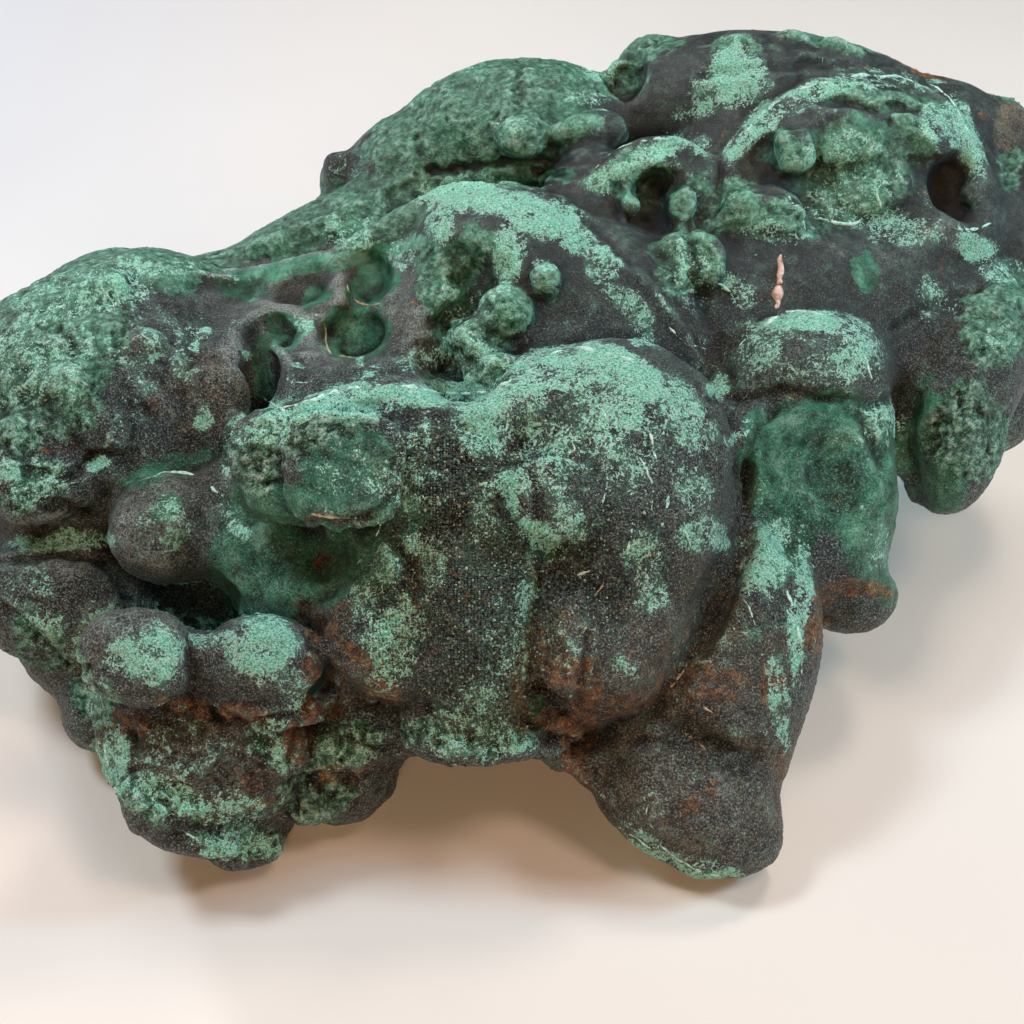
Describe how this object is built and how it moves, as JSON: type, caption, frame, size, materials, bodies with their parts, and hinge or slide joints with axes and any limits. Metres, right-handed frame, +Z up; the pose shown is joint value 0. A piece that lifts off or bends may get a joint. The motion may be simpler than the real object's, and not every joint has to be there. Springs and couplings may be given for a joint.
{
  "type": "malachite specimen",
  "caption": "Free-standing botryoidal malachite stone with rounded lumps, broken bubbles, pits and ledges, resting on small flat patches of its underside.",
  "frame": {"origin": "middle of the stone's bounding box, on the level that it stands on", "axes": "+Z up, +X along the stone's length to the right as seen from its front, +Y towards its back"},
  "size_m": [0.3933, 0.2777, 0.1683],
  "materials": {
    "malachite": "dark grey-brown skin with bright mint dusting, green broken crust and rust in the clefts"
  },
  "bodies": {
    "root": {"malachite_rock": "malachite"}
  },
  "joints": []
}
